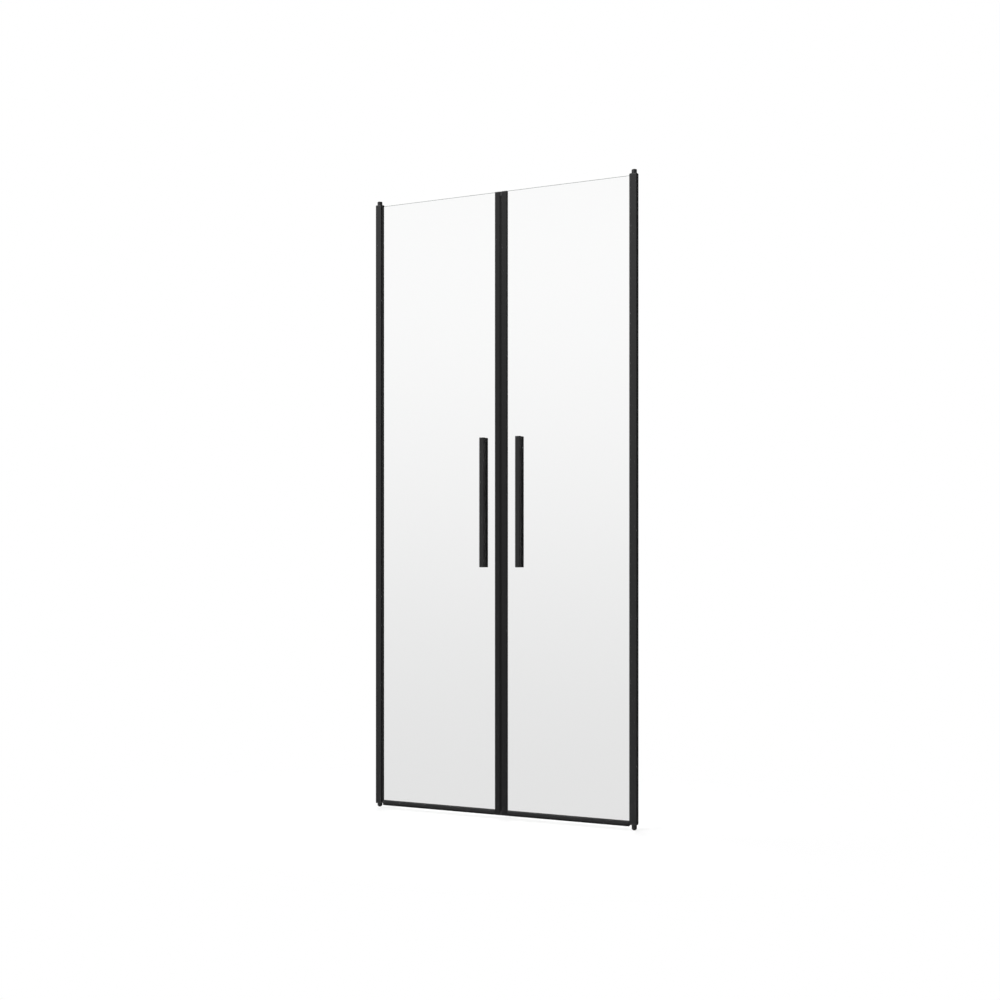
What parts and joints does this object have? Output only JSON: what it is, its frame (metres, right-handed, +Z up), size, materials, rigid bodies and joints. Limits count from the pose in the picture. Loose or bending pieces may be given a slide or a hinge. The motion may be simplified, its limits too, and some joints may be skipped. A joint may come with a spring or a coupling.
{
  "type": "shower door",
  "caption": "Frameless swing shower door of clear glass leaves with black hinge profiles on corner pivots, a magnetic meeting edge, a bottom rail with wiper lip and bar handles.",
  "frame": {"origin": "midpoint between the two lower pivots, at the shoulders of their pins", "axes": "+X along the door to the right seen from outside, +Y into the shower, +Z up"},
  "size_m": [0.9, 0.0341, 1.977],
  "materials": {
    "black_coat": "satin black powder coat on aluminium extrusion",
    "clear_glass": "clear toughened glass with polished edges",
    "black_rubber": "matt black sealing rubber",
    "black_plastic": "fine-textured black moulding",
    "bearing_plastic": "smooth acetal",
    "magnet": "bonded magnet strip",
    "steel": "bright stainless steel",
    "pin_steel": "blackened turned steel"
  },
  "bodies": {
    "pivots": {"lower_pins": "pin_steel", "upper_pins": "pin_steel"},
    "left_leaf": {"left_glass": "clear_glass", "left_hinge_profile": "black_coat", "left_hinge_gasket": "black_rubber", "left_upper_pivot_cap": "black_plastic", "left_lower_pivot_cap": "black_plastic", "left_pivot_bushes": "bearing_plastic", "left_meeting_profile": "black_coat", "left_meeting_gasket": "black_rubber", "left_magnet_carrier": "black_plastic", "left_magnet_strip": "magnet", "left_meeting_top_cap": "black_plastic", "left_meeting_bottom_cap": "black_plastic", "left_bottom_rail": "black_coat", "left_rail_gasket": "black_rubber", "left_wiper_lip": "black_rubber", "left_handle_front_bar": "black_coat", "left_handle_rear_bar": "black_coat", "left_handle_end_caps": "black_plastic", "left_handle_pads": "black_rubber", "left_handle_sleeves": "black_plastic", "left_handle_screws": "steel", "left_handle_nut_plates": "steel", "left_handle_plugs": "black_plastic"},
    "right_leaf": {"right_glass": "clear_glass", "right_hinge_profile": "black_coat", "right_hinge_gasket": "black_rubber", "right_upper_pivot_cap": "black_plastic", "right_lower_pivot_cap": "black_plastic", "right_pivot_bushes": "bearing_plastic", "right_meeting_profile": "black_coat", "right_meeting_gasket": "black_rubber", "right_magnet_carrier": "black_plastic", "right_magnet_strip": "magnet", "right_meeting_top_cap": "black_plastic", "right_meeting_bottom_cap": "black_plastic", "right_bottom_rail": "black_coat", "right_rail_gasket": "black_rubber", "right_wiper_lip": "black_rubber", "right_handle_front_bar": "black_coat", "right_handle_rear_bar": "black_coat", "right_handle_end_caps": "black_plastic", "right_handle_pads": "black_rubber", "right_handle_sleeves": "black_plastic", "right_handle_screws": "steel", "right_handle_nut_plates": "steel", "right_handle_plugs": "black_plastic"}
  },
  "joints": [
    {"name": "left_swing", "type": "hinge", "parent": "pivots", "child": "left_leaf", "pos_m": [-0.4396, 0, 0], "axis": [0, 0, 1], "range_deg": [-90, 90]},
    {"name": "right_swing", "type": "hinge", "parent": "pivots", "child": "right_leaf", "pos_m": [0.4396, 0, 0], "axis": [0, 0, 1], "range_deg": [-90, 90]}
  ]
}
